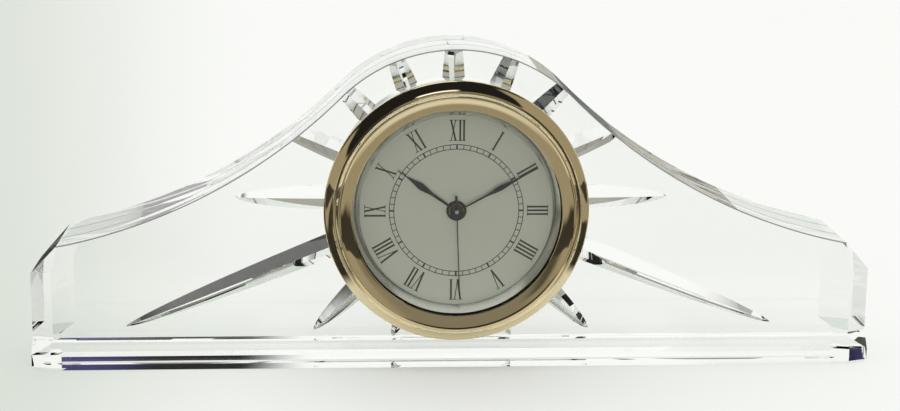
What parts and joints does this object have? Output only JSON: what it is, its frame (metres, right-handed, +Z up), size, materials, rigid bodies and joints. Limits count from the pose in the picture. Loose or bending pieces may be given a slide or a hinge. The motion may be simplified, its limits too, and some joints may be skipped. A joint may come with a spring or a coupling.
{
  "type": "crystal mantel clock",
  "caption": "Cut-crystal mantel clock block with a domed crown and sloping shoulders, holding a round gold-rimmed quartz insert with three hands.",
  "frame": {"origin": "centre of the crystal block's underside, on the surface that it rests on", "axes": "+X to the right seen from the front, +Y towards the back, +Z up; the dial faces -Y"},
  "size_m": [0.2256, 0.0342, 0.0861],
  "materials": {
    "crystal": "polished, clear, cut facets",
    "gold_metal": "polished",
    "lens_glass": "polished, clear",
    "rehaut_metal": "polished",
    "dial_metal": "fine satin",
    "black_metal": "satin",
    "gear_brass": "machined",
    "gear_plastic": "moulded",
    "steel": "plain",
    "bonded_magnet": "moulded",
    "copper_wire": "enamelled winding",
    "board_laminate": "satin",
    "cell_steel": "plated",
    "black_plastic": "fine grain",
    "black_rubber": "matt"
  },
  "bodies": {
    "block": {"crystal_block": "crystal"},
    "insert": {"bezel": "gold_metal", "lens_gasket": "black_rubber", "lens": "lens_glass", "rehaut": "rehaut_metal", "dial": "dial_metal", "stator": "steel", "coil_core": "steel", "coil_bobbin": "gear_plastic", "coil_winding": "copper_wire", "circuit_board": "board_laminate", "quartz_can": "steel", "battery_cell": "cell_steel", "contact_negative": "steel", "contact_positive": "steel", "movement_front_cover": "black_plastic", "movement_main_plate": "gear_plastic", "movement_rear_cover": "black_plastic", "cup": "black_plastic", "grip_ring": "black_rubber", "plate_screw_1": "steel", "plate_screw_2": "steel", "plate_screw_3": "steel"},
    "setting": {"setting_knob": "black_plastic", "setting_stem": "steel", "minute_wheel": "gear_plastic"},
    "minute": {"minute_hand": "black_metal", "cannon_pinion": "gear_brass"},
    "hour": {"hour_hand": "black_metal", "hour_wheel": "gear_brass"},
    "second": {"second_hand": "black_metal", "second_wheel": "steel"},
    "third": {"third_wheel": "gear_plastic"},
    "centre": {"centre_wheel": "gear_brass"},
    "step": {"step_wheel": "gear_plastic"},
    "rotor": {"rotor_pinion": "gear_plastic", "rotor_magnet": "bonded_magnet"},
    "lid": {"battery_lid": "black_plastic"}
  },
  "joints": [
    {"name": "insert_pull", "type": "slide", "parent": "block", "child": "insert", "axis": [0, -1, 0], "range_m": [0, 0.03]},
    {"name": "battery_lid_pull", "type": "slide", "parent": "insert", "child": "lid", "axis": [0, 1, 0], "range_m": [0, 0.008]},
    {"name": "setting_turn", "type": "hinge", "parent": "insert", "child": "setting", "pos_m": [0.00385, 0, 0.03648], "axis": [0, 1, 0], "continuous": true},
    {"name": "minute_turn", "type": "hinge", "parent": "insert", "child": "minute", "pos_m": [0, 0, 0.04315], "axis": [0, 1, 0], "continuous": true},
    {"name": "hour_turn", "type": "hinge", "parent": "insert", "child": "hour", "pos_m": [0, 0, 0.04315], "axis": [0, 1, 0], "continuous": true},
    {"name": "second_turn", "type": "hinge", "parent": "insert", "child": "second", "pos_m": [0, 0, 0.04315], "axis": [0, 1, 0], "continuous": true},
    {"name": "third_turn", "type": "hinge", "parent": "insert", "child": "third", "pos_m": [-0.00677, 0, 0.04068], "axis": [0, 1, 0], "continuous": true},
    {"name": "centre_turn", "type": "hinge", "parent": "insert", "child": "centre", "pos_m": [0, 0, 0.04315], "axis": [0, 1, 0], "continuous": true},
    {"name": "step_turn", "type": "hinge", "parent": "insert", "child": "step", "pos_m": [0.00364, 0, 0.04946], "axis": [0, 1, 0], "continuous": true},
    {"name": "rotor_turn", "type": "hinge", "parent": "insert", "child": "rotor", "pos_m": [0.00838, 0, 0.04863], "axis": [0, 1, 0], "continuous": true}
  ],
  "couplings": [
    {"joint": "minute_turn", "follows": "setting_turn", "ratio": -3},
    {"joint": "hour_turn", "follows": "setting_turn", "ratio": -0.25},
    {"joint": "third_turn", "follows": "second_turn", "ratio": -0.125},
    {"joint": "centre_turn", "follows": "second_turn", "ratio": 0.016667},
    {"joint": "step_turn", "follows": "second_turn", "ratio": -6},
    {"joint": "rotor_turn", "follows": "second_turn", "ratio": 30}
  ]
}
